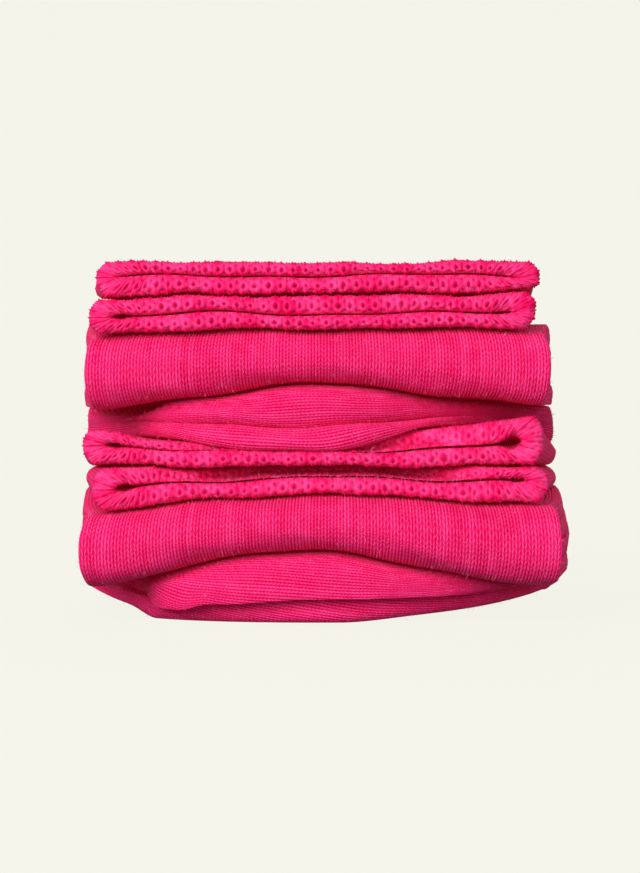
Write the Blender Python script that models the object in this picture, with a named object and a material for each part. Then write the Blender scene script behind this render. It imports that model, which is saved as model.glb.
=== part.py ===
"""Two folded bundles of knitted socks, the upper one lying on the lower one.

In each bundle two flattened socks lie on each other and are folded back and forth in four passes:
cuffs forward on top, a rounded fold of both legs below them, and the two feet forward at the bottom.

The pieces are first laid out as a level stack: x across, y towards the back, level upwards. Each
point is then settled: near the front every level moves to the height that its line has there, so
neighbours bend together and never cross. X is right, Y is back, Z is up, in metres.
"""

import math

import bmesh
import bpy

MM = 0.001

# Driving sizes.
CLOTH = 2.0 * MM  # one relaxed knitted wall
SEAM = 0.4 * MM  # air between pieces that lie on each other
DEPTH = 106.0 * MM  # front of the lower fold to the back folds

# Worked out from them.
SOCK = 2.0 * CLOTH  # one flattened sock
PAIR = 2.0 * SOCK  # two socks on each other
PASS = PAIR + SEAM  # level from one pass of the fold to the next
BUNDLE = 4.0 * PASS  # level from one bundle to the next
BEND = PAIR + SEAM / 2.0  # outer radius of a fold, round the slit between two passes
BACK = DEPTH / 2.0
LEG_END = BACK - BEND - 8.0 * MM  # where the cuffs and feet meet the folded legs

# The stretch of y over which the heights at the front give way to the level stack.
FRONT_FORM_ENDS = -44.0 * MM
LEVEL_STARTS = -8.0 * MM

# The pile is a little uneven: soft waves of this height run through its levels, none at the floor.
SWAY = 0.8 * MM
SWAY_ACROSS = 31.0 * MM
SWAY_ALONG = 43.0 * MM

# The underside is flat in the middle and lifts off the floor towards both sides, most at the front.
# The lift is lost in the levels above it.
LIFT_STATIONS = (-48.0, -42.0, -38.0, -33.0, 4.0, 17.0, 32.0, 41.0, 48.0)
LIFTS = (5.4, 3.3, 2.1, 0.0, 0.0, 1.1, 2.5, 4.0, 6.0)
LIFT_FADES = 26.0 * MM
LIFT_EASES = -15.0 * MM
LIFT_EASED = 30.0 * MM
LIFT_LEFT_BEHIND = 0.25

# Cuffs: how far their rounded side edges reach in, and how much their right edge is drawn in behind.
CUFF_END = 3.6 * MM
CUFF_DRAWN_IN = 2.0 * MM
CUFF_EASES = 4.0 * MM

# Cuff mouths.
MOUTH_DEPTH = 24.0 * MM
SLIT = 0.45 * MM  # level of air between the two walls of a mouth
LOOP = 0.4 * MM  # how far each wall stands back in the small loop at each end of a mouth
LOOP_WIDTH = 5.0 * MM
LIP = 1.3 * MM  # how far a rounded lip reaches in
LIP_SHAPE = ((0.85, 0.3), (0.5, 0.0), (0.15, 0.3))  # share of the outer wall, share of the reach
PUSHED_WIDTH = 30.0 * MM  # half of the width over which an upper lip is pushed back
PUSHED_DEPTH = 14.0 * MM

# Mesh steps.
COLUMNS = 12
TUBE_EDGE_STEPS = 3
EDGE_STEPS = 2
BEND_STEPS = 6
DEPTH_STEPS = (-50.0, -45.0, -40.0, -35.0, -30.0, -25.0, -20.0, -14.0, -8.0, 6.0, 24.0)
STEP_ROOM = 1.5 * MM  # no shared step lies closer than this to the end of a stretch

# Heights of the lines that show from the front, in millimetres above the floor, from left to right.
STATIONS = (-42.0, -24.0, 0.0, 22.0, 40.0)
LOWER_LINES = (
    # line, left, left_mid, middle, right_mid, right
    ("feet_meet", 5.0, 4.0, 4.8, 5.3, 6.2),
    ("fold_bottom", 7.0, 11.7, 14.3, 10.0, 7.4),
    ("fold_top", 21.6, 23.7, 25.0, 24.0, 23.0),
    ("under_slit", 26.5, 27.6, 28.7, 28.0, 28.0),
    ("cuffs_meet", 30.5, 30.2, 30.4, 30.2, 30.6),
    ("top_slit", 34.2, 33.6, 33.3, 33.6, 35.2),
    ("top", 37.6, 34.9, 34.4, 38.0, 40.6),
)
UPPER_LINES = (
    # line, left, left_mid, middle, right_mid, right
    ("feet_meet", 39.4, 38.8, 38.4, 41.0, 41.4),
    ("fold_bottom", 41.2, 43.9, 46.5, 44.1, 42.2),
    ("fold_top", 55.8, 56.5, 56.8, 56.9, 57.0),
    ("under_slit", 59.3, 60.3, 59.8, 60.3, 60.6),
    ("cuffs_meet", 62.9, 63.4, 63.6, 63.7, 64.3),
    ("top_slit", 66.9, 67.1, 66.8, 67.0, 67.4),
    ("top", 69.8, 70.2, 69.8, 70.1, 70.3),
)

# Left and right edges of the legs, in millimetres, from the front to the back.
SIDE_STATIONS = (-53.0, -38.0, -14.0, 20.0, 53.0)
SIDES = {
    # edge: front, behind_front, middle, behind_middle, back
    "lower_left": (-46.4, -48.4, -50.0, -48.8, -47.0),
    "lower_right": (44.6, 48.2, 50.0, 48.6, 47.4),
    "upper_left": (-45.4, -46.8, -47.8, -47.4, -46.2),
    "upper_right": (43.2, 45.0, 46.2, 46.4, 45.6),
}

# How far each pass lies inside those edges, in millimetres: cuffs, upper leg, lower leg, feet.
PASS_INSETS = (1.6, 0.4, 0.0, 1.0)

# Each cuff: left edge, right edge and front edge in millimetres, and how far its upper lip is pushed
# back in the middle of its width.
CUFFS = {
    # cuff: left, right, front, lip_back
    "lower_under_cuff": (-44.6, 44.0, -51.6, 5.0),
    "lower_top_cuff": (-46.6, 44.1, -50.8, 2.5),
    "upper_under_cuff": (-45.1, 40.6, -51.0, 0.0),
    "upper_top_cuff": (-43.8, 41.3, -50.4, 0.0),
}

# Each foot: left and right edges and the foremost point of its rounded toe, in millimetres, and the
# power of the toe's outline seen from above, at its left and at its right.
FEET = {
    # foot: left, right, tip, left_power, right_power
    "lower_top_foot": (-43.0, 45.0, -50.0, 3.6, 2.8),
    "lower_under_foot": (-42.0, 44.0, -47.0, 3.6, 2.4),
    "upper_top_foot": (-42.0, 44.0, -49.4, 2.3, 2.5),
    "upper_under_foot": (-40.0, 40.0, -50.4, 2.2, 2.3),
}
TOE_STARTS = -10.0 * MM
TOE_WIDENS = 20.0 * MM  # length over which a foot's edges run from the legs' to its own
TOE_BLUNTNESS = 12.0  # power of the toe's outline seen from the side
TOE_STEPS = 8
TOE_TURN = 0.487 * math.pi  # the last step stops just short of the tip

# How far each fold of the legs reaches: forward, and back in its upper and lower back folds.
FOLD_FRONTS = {"lower": -BACK, "upper": -BACK + 1.4 * MM}
FOLD_BACKS = {
    # bundle: upper, lower
    "lower": (BACK, BACK - 1.2 * MM),
    "upper": (BACK - 2.4 * MM, BACK - 0.6 * MM),
}
NOSE = 1.2 * MM  # how far the rounded side edge of a folded sock reaches in
GROOVE = 0.9 * MM  # how deep the edge between the two socks lies inside their edges
FOLD_CORNER = 1.6 * MM  # how much the outer corners of the front fold are drawn in
CORNER_REACH = 14.0 * MM

PINK = (0.86, 0.022, 0.165, 1.0)
SHADES = {"cuff": 1.0, "folded_legs": 0.94, "foot": 0.9}


def curve(at, knots, values):
    """A smooth curve through the values at the knots, held level beyond both ends."""
    if at <= knots[0]:
        return values[0]
    if at >= knots[-1]:
        return values[-1]
    i = max(k for k in range(len(knots) - 1) if knots[k] <= at)

    def slope(k):
        low, high = max(k - 1, 0), min(k + 1, len(knots) - 1)
        return (values[high] - values[low]) / (knots[high] - knots[low])

    span = knots[i + 1] - knots[i]
    u = (at - knots[i]) / span
    rise = values[i + 1] - values[i]
    a = slope(i) * span - rise
    b = rise - slope(i + 1) * span
    return values[i] + u * rise + u * (1.0 - u) * (a * (1.0 - u) + b * u)


def blend(u):
    u = min(max(u, 0.0), 1.0)
    return u * u * (3.0 - 2.0 * u)


def rest_levels(base):
    """Levels of the seven lines of one bundle in the level stack, in the order of the tables."""
    cuffs = base + 3.0 * PASS
    return (
        base + SOCK,
        base + PAIR + SEAM / 2.0,
        cuffs - SEAM / 2.0,
        cuffs + CLOTH,
        cuffs + SOCK,
        cuffs + SOCK + CLOTH,
        base + BUNDLE - SEAM / 2.0,
    )


LEVELS = (0.0,) + rest_levels(0.0) + rest_levels(BUNDLE)
LINES = LOWER_LINES + UPPER_LINES


def underside(x):
    """Height of the lowest level above the floor, at the front."""
    return max(curve(x / MM, LIFT_STATIONS, LIFTS), 0.0) * MM


def front_height(x, level):
    """Height that a level of the stack has at the front, at x."""
    heights = [underside(x)] + [curve(x / MM, STATIONS, line[1:]) * MM for line in LINES]
    i = max(k for k in range(len(LEVELS) - 1) if LEVELS[k] <= level or k == 0)
    u = (level - LEVELS[i]) / (LEVELS[i + 1] - LEVELS[i])
    return heights[i] + u * (heights[i + 1] - heights[i])


def sway(x, y, level):
    """Soft unevenness of a level behind the front, which grows from nothing at the floor."""
    share = level / (2.0 * BUNDLE)
    tilt = math.sin(x / SWAY_ACROSS + 2.2 * share + 0.6) * math.cos(y / SWAY_ALONG - 0.9)
    return SWAY * min(2.0 * share, 1.0) * tilt


def settle(x, y, level):
    """Moves a point of the level stack to its height in the pile."""
    weight = blend((LEVEL_STARTS - y) / (LEVEL_STARTS - FRONT_FORM_ENDS))
    eased = (1.0 - LIFT_LEFT_BEHIND) * blend((y - LIFT_EASES) / (LIFT_EASED - LIFT_EASES))
    lift = underside(x) * (1.0 - eased) * max(1.0 - level / LIFT_FADES, 0.0)
    behind = level + lift + sway(x, y, level)
    return (x, y, behind + weight * (front_height(x, level) - behind))


def side(bundle, hand, y, inset):
    """X of the left or right edge of the legs at y, drawn in by an inset."""
    x = curve(y / MM, SIDE_STATIONS, SIDES[f"{bundle}_{hand}"]) * MM
    return x + inset if hand == "left" else x - inset


def half_chain(left, right, reach, height):
    """The upper half of one flattened tube, about its own middle: left end, top, right end."""
    turn = [math.pi / 2.0 * k / TUBE_EDGE_STEPS for k in range(TUBE_EDGE_STEPS)]
    span = right - left - 2.0 * reach
    rising = [(left + reach * (1.0 - math.cos(a)), height * math.sin(a)) for a in turn]
    flat = [(left + reach + span * k / COLUMNS, height) for k in range(COLUMNS + 1)]
    falling = [(right - reach * (1.0 - math.cos(a)), height * math.sin(a)) for a in reversed(turn)]
    return rising + flat + falling


def ring(chain, place):
    """A closed ring: the chain over the top, and its mirror image back along the bottom."""
    lower = [(x, -offset) for x, offset in reversed(chain[1:-1])]
    return [place(x, offset) for x, offset in chain + lower]


def strip_cap(count, first, flip):
    """Faces that close a ring by joining each upper point to the lower point below it."""
    half = count // 2
    faces = [(first, first + 1, first + count - 1)]
    for k in range(1, half - 1):
        faces.append((first + k, first + k + 1, first + count - k - 1, first + count - k))
    faces.append((first + half - 1, first + half, first + half + 1))
    return [face[::-1] if flip else face for face in faces]


def material(kind):
    name = f"{kind}_knit"
    found = bpy.data.materials.get(name)
    if found:
        return found
    knit = bpy.data.materials.new(name)
    knit.use_nodes = True
    shader = knit.node_tree.nodes["Principled BSDF"]
    shade = SHADES[kind]
    shader.inputs["Base Color"].default_value = tuple(c * shade for c in PINK[:3]) + (1.0,)
    shader.inputs["Roughness"].default_value = 0.9
    shader.inputs["Metallic"].default_value = 0.0
    return knit


def loft(name, kind, rings, grooved=False):
    """One closed solid through rings of the same count, with both ends capped."""
    count = len(rings[0])
    points = [settle(*point) for one in rings for point in one]
    faces = []
    for r in range(len(rings) - 1):
        for k in range(count):
            a, b = r * count + k, r * count + (k + 1) % count
            faces.append((a, b, b + count, a + count))
    last = (len(rings) - 1) * count
    if grooved:
        faces += [tuple(range(count))[::-1], tuple(range(last, last + count))]
    else:
        faces += strip_cap(count, 0, True)
        faces += strip_cap(count, last, False)
    mesh = bpy.data.meshes.new(name)
    mesh.from_pydata(points, [], faces)
    solid = bmesh.new()
    solid.from_mesh(mesh)
    bmesh.ops.recalc_face_normals(solid, faces=solid.faces)
    bmesh.ops.triangulate(solid, faces=solid.faces)
    solid.to_mesh(mesh)
    solid.free()
    mesh.shade_smooth()
    mesh.set_sharp_from_angle(angle=math.radians(50.0))
    mesh.materials.append(material(kind))
    piece = bpy.data.objects.new(name, mesh)
    bpy.context.scene.collection.objects.link(piece)
    return piece


def y_steps(start, end):
    """Places along the depth: close together where the stack settles, wide apart behind."""
    inner = [y * MM for y in DEPTH_STEPS if start + STEP_ROOM < y * MM < end - STEP_ROOM]
    return [start] + inner + [end]


def cuff(bundle, name, low):
    """A flattened tube from its open, rounded mouth to where the legs start to fold."""
    left_mm, right_mm, front_mm, lip_back_mm = CUFFS[name]
    high = low + SOCK - SEAM / 2.0
    middle, height = (low + high) / 2.0, (high - low) / 2.0
    front = front_mm * MM

    def edges(y):
        share = blend((y - front) / (LEG_END - front) * 2.0)
        inset = PASS_INSETS[0] * MM
        drawn_in = CUFF_DRAWN_IN * (1.0 - blend((y - CUFF_EASES) / (LEG_END - CUFF_EASES)))
        left = (1.0 - share) * left_mm * MM + share * side(bundle, "left", y, inset)
        right = (1.0 - share) * right_mm * MM + share * side(bundle, "right", y, inset + drawn_in)
        return left, right

    def outer(y):
        left, right = edges(y)
        return half_chain(left, right, CUFF_END, height)

    def inner(y):
        left, right = edges(y)
        chain = half_chain(left + CUFF_END, right - CUFF_END, SLIT / 2.0, SLIT / 2.0)
        opened = []
        for x, offset in chain:
            from_end = min(x - left, right - x) - CUFF_END
            loop = math.sin(math.pi * min(from_end / LOOP_WIDTH, 1.0))
            opened.append((x, offset + LOOP * loop))
        return opened

    def lip(outer_share, reach):
        mixed = []
        for (ox, on), (ix, inn) in zip(outer(front + LIP), inner(front + LIP)):
            mixed.append((ix + outer_share * (ox - ix), inn + outer_share * (on - inn)))
        return ring(mixed, lambda x, n: (x, front + LIP * reach + set_back(x, n), middle + n))

    def set_back(x, offset):
        centred = min(abs(x) / PUSHED_WIDTH, 1.0)
        return lip_back_mm * MM * blend(offset / height) * (1.0 - blend(centred))

    def straight(y, chain):
        ease = 1.0 - blend((y - front) / PUSHED_DEPTH)
        return ring(chain, lambda x, n: (x, y + ease * set_back(x, n), middle + n))

    outside = [straight(y, outer(y)) for y in reversed(y_steps(front + LIP, LEG_END - SEAM))]
    rounding = [lip(outer_share, reach) for outer_share, reach in LIP_SHAPE]
    inside = [straight(y, inner(y)) for y in y_steps(front + LIP, front + MOUTH_DEPTH)]
    return loft(name, "cuff", outside + rounding + inside)


def double_chain(left, right):
    """The upper half of a section of two socks: the groove between them is at offset 0."""
    angles = [math.pi * k / (2 * EDGE_STEPS) for k in range(2 * EDGE_STEPS)]
    edge = [(NOSE * (1.0 - math.sin(a)), CLOTH * (1.0 - math.cos(a))) for a in angles]
    edge[0] = (GROOVE, 0.0)
    span = right - left - 2.0 * NOSE
    flat = [(left + NOSE + span * k / COLUMNS, SOCK) for k in range(COLUMNS + 1)]
    rising = [(left + dx, offset) for dx, offset in edge]
    falling = [(right - dx, offset) for dx, offset in reversed(edge)]
    return rising + flat + falling


def fold_frames(bundle, base):
    """Places along the folded legs: y, level, turn since the first pass, and count of passes."""
    front_bend = FOLD_FRONTS[bundle] + BEND
    upper_bend, lower_bend = (back - BEND for back in FOLD_BACKS[bundle])
    turn = [math.pi * k / BEND_STEPS for k in range(1, BEND_STEPS)]
    level = [base + SOCK + PASS * (3 - k) for k in range(4)]
    radius = PASS / 2.0
    frames = [(LEG_END, level[0], 0.0, 0.0), (upper_bend, level[0], 0.0, 0.0)]
    for a in turn:
        y = upper_bend + radius * math.sin(a)
        frames.append((y, level[1] + radius * (1.0 + math.cos(a)), a, a / math.pi))
    for y in reversed(y_steps(front_bend, upper_bend)):
        frames.append((y, level[1], math.pi, 1.0))
    for a in turn:
        y = front_bend - radius * math.sin(a)
        frames.append((y, level[2] + radius * (1.0 + math.cos(a)), math.pi - a, 1.0 + a / math.pi))
    for y in y_steps(front_bend, lower_bend):
        frames.append((y, level[2], 0.0, 2.0))
    for a in turn:
        y = lower_bend + radius * math.sin(a)
        frames.append((y, level[3] + radius * (1.0 + math.cos(a)), a, 2.0 + a / math.pi))
    frames += [(lower_bend, level[3], math.pi, 3.0), (LEG_END, level[3], math.pi, 3.0)]
    return frames


def folded_legs(bundle, base):
    """Both legs as one rounded band, folded back, forward and back again."""
    front = FOLD_FRONTS[bundle]
    front_bend = front + BEND
    rings = []
    for y, level, tilt, which in fold_frames(bundle, base):
        inset = curve(which, (0.0, 1.0, 2.0, 3.0), PASS_INSETS) * MM
        crest = abs(math.sin(tilt)) if y < front_bend else 0.0
        near = max(0.0, 1.0 - max(y - front_bend, 0.0) / CORNER_REACH)
        inset += FOLD_CORNER * blend(near) * (1.0 - crest)
        chain = double_chain(side(bundle, "left", y, inset), side(bundle, "right", y, inset))
        up, out = math.cos(tilt), math.sin(tilt)

        def place(x, offset, y=y, level=level, up=up, out=out):
            return (x, y + offset * out, level + offset * up)

        rings.append(ring(chain, place))
    return loft(f"{bundle}_folded_legs", "folded_legs", rings, grooved=True)


def foot(bundle, name, low):
    """A flattened foot from where the legs end to its closed, rounded toe."""
    left_mm, right_mm, tip_mm, left_power, right_power = FEET[name]
    high = low + SOCK - SEAM / 2.0
    middle, height = (low + high) / 2.0, (high - low) / 2.0
    tip = tip_mm * MM
    centre = (left_mm + right_mm) / 2.0 * MM
    rings = []

    def add(y, u, thickness):
        share = blend((TOE_STARTS - y) / TOE_WIDENS)
        back_left = side(bundle, "left", y, PASS_INSETS[3] * MM)
        back_right = side(bundle, "right", y, PASS_INSETS[3] * MM)
        left = back_left + share * (left_mm * MM - back_left)
        right = back_right + share * (right_mm * MM - back_right)
        left = centre + (left - centre) * (1.0 - u**left_power) ** (1.0 / left_power)
        right = centre + (right - centre) * (1.0 - u**right_power) ** (1.0 / right_power)
        reach = min(height * thickness, (right - left) / 3.0)
        chain = half_chain(left, right, reach, height * thickness)
        rings.append(ring(chain, lambda x, n: (x, y, middle + n)))

    for y in reversed(y_steps(TOE_STARTS, LEG_END - SEAM)):
        add(y, 0.0, 1.0)
    for k in range(1, TOE_STEPS + 1):
        u = math.sin(TOE_TURN * k / TOE_STEPS)
        thickness = (1.0 - u**TOE_BLUNTNESS) ** 0.5
        add(TOE_STARTS + u * (tip - TOE_STARTS), u, thickness)
    return loft(name, "foot", rings)


def bundle_of_socks(bundle, base):
    cuffs = base + 3.0 * PASS
    cuff(bundle, f"{bundle}_top_cuff", cuffs + SOCK + SEAM / 2.0)
    cuff(bundle, f"{bundle}_under_cuff", cuffs)
    folded_legs(bundle, base)
    foot(bundle, f"{bundle}_top_foot", base + SOCK + SEAM / 2.0)
    foot(bundle, f"{bundle}_under_foot", base)


def main():
    for old in list(bpy.data.objects):
        bpy.data.objects.remove(old)
    bundle_of_socks("lower", 0.0)
    bundle_of_socks("upper", BUNDLE)


main()
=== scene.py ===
"""The finished look of two folded bundles of knitted socks, one lying on the other.

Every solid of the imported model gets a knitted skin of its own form. The skins are laid out as a level
stack of flattened tubes: x across, y towards the back, level upwards. They are then settled, so that
near the front each level has the height of the line that shows there. The knit's wales and courses are
raised in the meshes where they show, and drawn on by the material everywhere else.
"""

import math

import bpy
import numpy as np
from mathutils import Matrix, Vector


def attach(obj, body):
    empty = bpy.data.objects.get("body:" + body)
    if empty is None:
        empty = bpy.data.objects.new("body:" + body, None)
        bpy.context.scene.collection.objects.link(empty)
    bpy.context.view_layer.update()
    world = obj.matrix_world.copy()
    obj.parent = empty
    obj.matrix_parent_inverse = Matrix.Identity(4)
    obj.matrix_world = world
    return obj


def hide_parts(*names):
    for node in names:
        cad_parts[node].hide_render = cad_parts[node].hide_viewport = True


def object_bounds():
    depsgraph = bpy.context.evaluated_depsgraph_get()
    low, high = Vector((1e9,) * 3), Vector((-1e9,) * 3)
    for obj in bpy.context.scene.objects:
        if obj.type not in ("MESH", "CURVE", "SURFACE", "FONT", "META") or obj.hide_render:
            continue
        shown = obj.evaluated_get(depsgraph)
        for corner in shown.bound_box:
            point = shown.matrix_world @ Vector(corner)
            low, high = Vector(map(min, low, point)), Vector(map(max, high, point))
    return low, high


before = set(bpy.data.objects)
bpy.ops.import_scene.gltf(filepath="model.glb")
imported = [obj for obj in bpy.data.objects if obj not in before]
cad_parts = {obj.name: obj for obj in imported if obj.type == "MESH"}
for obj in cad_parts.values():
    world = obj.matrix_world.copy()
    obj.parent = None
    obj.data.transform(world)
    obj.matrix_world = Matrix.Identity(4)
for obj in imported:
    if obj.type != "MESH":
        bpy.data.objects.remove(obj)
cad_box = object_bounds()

MM = 0.001

# ------------------------------------------------
# Sizes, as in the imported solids.

CLOTH = 2.0 * MM
SEAM = 0.4 * MM
SOCK = 2.0 * CLOTH
PAIR = 2.0 * SOCK
PASS = PAIR + SEAM
BUNDLE = 4.0 * PASS
BEND = PAIR + SEAM / 2.0
BACK = cad_box[1].y
LEG_END = BACK - BEND - 8.0 * MM

WALE = 1.22 * MM
COURSE = 0.9 * MM

FRONT_FORM_ENDS = -44.0 * MM
LEVEL_STARTS = -8.0 * MM
SWAY = 0.8 * MM
SWAY_ACROSS = 31.0 * MM
SWAY_ALONG = 43.0 * MM

# The underside is flat in the middle and lifts off the floor towards both sides, most at the front.
LIFT_STATIONS = (-48.0, -42.0, -38.0, -33.0, 4.0, 17.0, 32.0, 41.0, 48.0)
LIFTS = (5.4, 3.3, 2.1, 0.0, 0.0, 1.1, 2.5, 4.0, 6.0)
LIFT_FADES = 26.0 * MM
LIFT_EASES = -15.0 * MM
LIFT_EASED = 30.0 * MM
LIFT_LEFT_BEHIND = 0.25

# Soft waves in the layers at the front, which differ from level to level.
RIPPLE = 0.32 * MM
RIPPLE_LENGTHS = (5.6 * MM, 3.3 * MM)
RIPPLE_TURNS = (0.50, 0.85)

STATIONS = (-42.0, -24.0, 0.0, 22.0, 40.0)
LINES = (
    # height of each line at the front in millimetres: left, left_mid, middle, right_mid, right
    ("lower feet meet", 5.0, 4.0, 4.8, 5.3, 6.2),
    ("lower fold bottom", 7.0, 11.7, 14.3, 10.0, 7.4),
    ("lower fold top", 21.6, 23.7, 25.0, 24.0, 23.0),
    ("lower under slit", 26.5, 27.6, 28.7, 28.0, 28.0),
    ("lower cuffs meet", 30.5, 30.2, 30.4, 30.2, 30.6),
    ("lower top slit", 34.2, 33.6, 33.3, 33.6, 35.2),
    ("lower top", 37.6, 34.9, 34.4, 38.0, 40.6),
    ("upper feet meet", 39.4, 38.6, 38.2, 39.8, 41.2),
    ("upper fold bottom", 41.2, 43.9, 46.5, 44.1, 42.2),
    ("upper fold top", 55.8, 56.5, 56.8, 56.9, 57.0),
    ("upper under slit", 59.3, 60.3, 59.8, 60.3, 60.6),
    ("upper cuffs meet", 62.9, 63.4, 63.6, 63.7, 64.3),
    ("upper top slit", 66.9, 67.1, 66.8, 67.6, 66.2),
    ("upper top", 69.8, 70.2, 69.8, 70.1, 70.3),
)

SIDE_STATIONS = (-53.0, -38.0, -14.0, 20.0, 53.0)
SIDES = {
    # edge in millimetres: front, behind_front, middle, behind_middle, back
    "lower_left": (-46.8, -47.6, -48.7, -48.2, -47.0),
    "lower_right": (45.2, 47.0, 48.5, 48.0, 47.0),
    "upper_left": (-45.4, -46.8, -47.8, -47.4, -46.2),
    "upper_right": (43.0, 44.4, 45.6, 46.0, 45.6),
}
PASS_INSETS = {
    # how far in from the side's edge each pass of the folded legs lies in millimetres, top to bottom
    "lower_left": (0.2, 0.4, 0.0, 0.5),
    "lower_right": (0.1, 0.2, 0.0, 0.1),
    "upper_left": (1.3, 0.3, 0.0, 0.1),
    "upper_right": (1.6, 0.5, 0.0, 0.1),
}
FOOT_INSETS = {"lower": 0.5, "upper": -0.3}
# How much further out the right side stands behind the front, by height in the stack, in millimetres.
RIGHT_LEVELS = (0.0, 6.0, 12.0, 19.0, 26.0, 31.0, 35.5, 43.0)
RIGHT_LEANS = (0.0, 0.5, 0.8, 0.4, -0.8, -1.1, 0.8, 0.2)
RIGHT_LEANS_FROM = -43.0 * MM
RIGHT_LEANS_OVER = 16.0 * MM
TUCKED_IN = 1.5 * MM  # how far cuffs and feet reach into the ends of the folded legs

CUFFS = {
    # cuff: left, right, front and lip_back in millimetres, half height of the hole at the left and
    # right end of its mouth, and how deep the pits along its edge are
    "lower_under_cuff": (-44.6, 43.2, -50.4, 14.0, 0.36, 0.26, 0.75),
    "lower_top_cuff": (-46.4, 42.4, -49.4, 7.0, 0.34, 0.60, 0.75),
    "upper_under_cuff": (-45.1, 40.6, -51.0, 0.0, 0.32, 0.16, 1.0),
    "upper_top_cuff": (-43.8, 41.3, -50.4, 0.0, 0.06, 0.12, 1.0),
}
HOLE_INSET = 4.5 * MM  # how far in each end of a cuff's mouth lies, and over what stretch that is lost
HOLE_SHIFT_FADES = 13.0 * MM
CUFF_END = 2.6 * MM
CUFF_END_BEHIND = 0.7 * MM
CUFF_DRAWN_IN = {
    # how far in from the folded legs' right edge each cuff lies in the middle, in millimetres
    "lower_under_cuff": 0.1,
    "lower_top_cuff": 0.1,
    "upper_under_cuff": 2.0,
    "upper_top_cuff": 2.0,
}
CUFF_EASES = 4.0 * MM
CUFF_WALES = 148
SLIT = 0.20 * MM
HOLE_TAIL = 2.2 * MM
HOLE_DEPTH = 5.0 * MM
LIP = 1.65 * MM
LIP_ARC = 5.2 * MM
LIP_STARTS = 5.0 * MM
PUSHED_FULLY = 10.0 * MM
PUSHED_FADES = 26.0 * MM
PUSHED_DEPTH = 22.0 * MM

FEET = {
    # foot: left, right, tip in millimetres, power of the toe's outline at its left and its right, and
    # how far its rim leans back, in millimetres, in its lower and its upper half
    "lower_top_foot": (-35.4, 45.0, -50.0, 6.0, 2.1, 1.1, 5.5),
    "lower_under_foot": (-44.0, 44.0, -46.6, 2.3, 2.0, 3.2, 0.9),
    "upper_top_foot": (-39.6, 44.0, -49.8, 3.6, 1.6, 4.2, 6.0),
    "upper_under_foot": (-39.4, 42.0, -50.4, 3.4, 1.7, 2.6, 3.6),
}
FOOT_COLUMNS = 500
LEAN_LOST_BEHIND = 0.9
LEAN_LOST_FROM = -36.0 * MM
LEAN_LOST_OVER = 18.0 * MM
RIM_ROWS = 37
WALE_SLANTS = {
    # how far the wales run down to the right in the middle, and how much less so each millimetre on
    "lower_top_foot": (0.08, 0.0072),
    "lower_under_foot": (0.20, 0.0050),
    "upper_top_foot": (0.02, 0.0036),
    "upper_under_foot": (-0.02, 0.0044),
}
SLANTS_WITHIN = 48.0 * MM
HANGS = {
    # foot whose lower edge hangs down in front: middle, reach, depth, where it starts, in millimetres
    "upper_under_foot": (-1.0, 25.0, 1.0, -43.0),
    "lower_top_foot": (-30.6, 6.0, 1.5, -38.0),
}
END_TAPER = 0.6  # of the upper top foot's height, towards its left end
END_TAPERS_FROM = -29.0 * MM
END_TAPERS_OVER = 9.0 * MM
FOOT_CLOSING = 0.20 * MM  # how far the edges of two feet swell into the slit between them
MEETING_TURN = math.radians(58.0)  # how far each foot's rim turns before it meets the other's
GROOVE_MIDDLE = -3.0 * MM
GROOVE_FULLY = 19.0 * MM
GROOVE_FADES = 15.0 * MM
GROOVE_LEFT_OVER = 0.25
TOE_STARTS = -10.0 * MM
TOE_WIDENS = 20.0 * MM
SIDE_STEPS = 40
TOE_STEPS = 400
EDGE_SMOOTHING = 5
SPINE_STARTS = 30.0 * MM  # behind the toe's tip
SPINE_SHARES = (0.04, 0.08, 0.13, 0.2, 0.32, 0.55, 1.0)

FOLD_FRONTS = {"lower": -BACK, "upper": -BACK + 1.4 * MM}
FOLD_BACKS = {
    # bundle: upper, lower
    "lower": (BACK, BACK - 1.2 * MM),
    "upper": (BACK - 2.4 * MM, BACK - 0.6 * MM),
}
NOSE = 0.40 * MM
ROUNDNESS = 0.72  # below 1, the front of a fold is fuller than a half circle
FOLD_CORNER = 2.2 * MM
CORNER_REACH = 14.0 * MM

# ------------------------------------------------
# The knit's relief and its loose fibres.

FIBRE = 0.055 * MM
LONGEST_FIBRE = 2.0 * MM
CUFF_FIBRES = {"lower": 3200, "upper": 900}
FOOT_FIBRES = 500
LEG_FIBRES = 900

STITCH_DEPTH = 0.30 * MM
WELT_STITCHES = 1.7  # how much deeper the stitches beside the pits are
ROUGH_YARN = 0.08 * MM
SMOOTH_INSIDE = 1.5 * MM  # past the lip's crest, where the stitches fade on the inside of a cuff
SMOOTH_OVER = 1.2 * MM
WELT_REACH = 3.0 * MM  # from the lip's crest, how far the welt's relief reaches, and where it is lost
WELT_FADES = 1.6 * MM
SLANT_SHARE = 0.48  # how far the gaps between courses go down, as a share of the stitches' height
SHALLOW_STITCHES = 0.14 * MM  # where the mesh has few rows to the knit's courses
PIT_DEPTH = 0.60 * MM
PIT = 0.24 * MM
PIT_RING = 0.62 * MM
RING_WIDTH = 0.22 * MM
PIT_SQUEEZE = 0.74  # below 1, a pit is longer than it is wide
CREST = 0.80 * MM
LUMP = 0.12 * MM
RING_HEIGHT = 0.24 * MM
PITS_FADE = 5.0 * MM  # how near the ends of a cuff's mouth the pits give way to plain strands
NOTCH_DEPTH = 0.26 * MM
NOTCH_PLACE = 0.70 * MM  # from the crest of the welt
NOTCH_SIZE = (0.26 * MM, 0.34 * MM)
SCALLOP = 0.19 * MM
SCALLOP_PLACE = 1.8 * MM
SCALLOP_REACH = 1.0 * MM
LOWEST_THREAD = -0.62 * MM
HIGHEST_THREAD = 0.36 * MM
LEG_WALES = 79
SIDE_WEAR = 0.7  # how much of the stitches the pressed sides behind the front lose
SIDE_TONE = 0.62
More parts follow.
